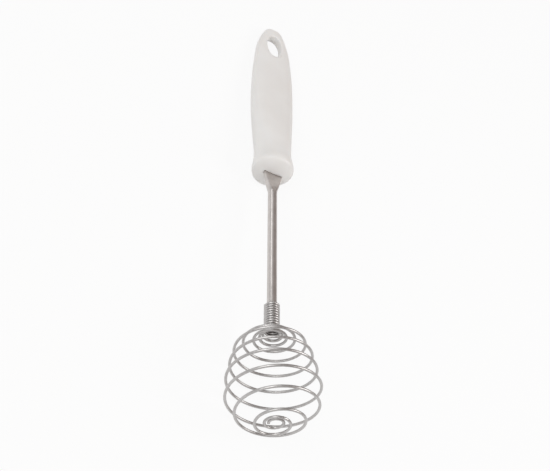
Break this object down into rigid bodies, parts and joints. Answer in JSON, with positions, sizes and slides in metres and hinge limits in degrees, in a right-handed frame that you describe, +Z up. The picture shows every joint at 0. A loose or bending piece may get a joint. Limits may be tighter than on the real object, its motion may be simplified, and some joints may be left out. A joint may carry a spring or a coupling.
{
  "type": "dough whisk",
  "caption": "Dough whisk: a moulded white handle with a hanging eye, a steel rod and a springy hollow ball wound from wire",
  "frame": {"origin": "on the table, under the middle of the whisk as it lies at rest on its ball and its tail", "axes": "+Z up, +Y from the ball towards the handle's tail, +X across the handle"},
  "size_m": [0.0462, 0.2876, 0.0466],
  "materials": {
    "handle_plastic": "white moulded plastic with a soft satin skin",
    "rod_steel": "bright drawn stainless bar, forged flat at the handle",
    "wire_steel": "bright drawn stainless spring wire"
  },
  "bodies": {
    "grip": {"handle": "handle_plastic", "rod": "rod_steel"},
    "head": {"whisk_wire": "wire_steel"}
  },
  "joints": [
    {"name": "head_compression", "type": "slide", "parent": "grip", "child": "head", "axis": [0, 0.9976, -0.0694], "range_m": [0, 0.02], "stiffness_N_per_m": 95, "deforming": ["whisk_wire"]}
  ]
}
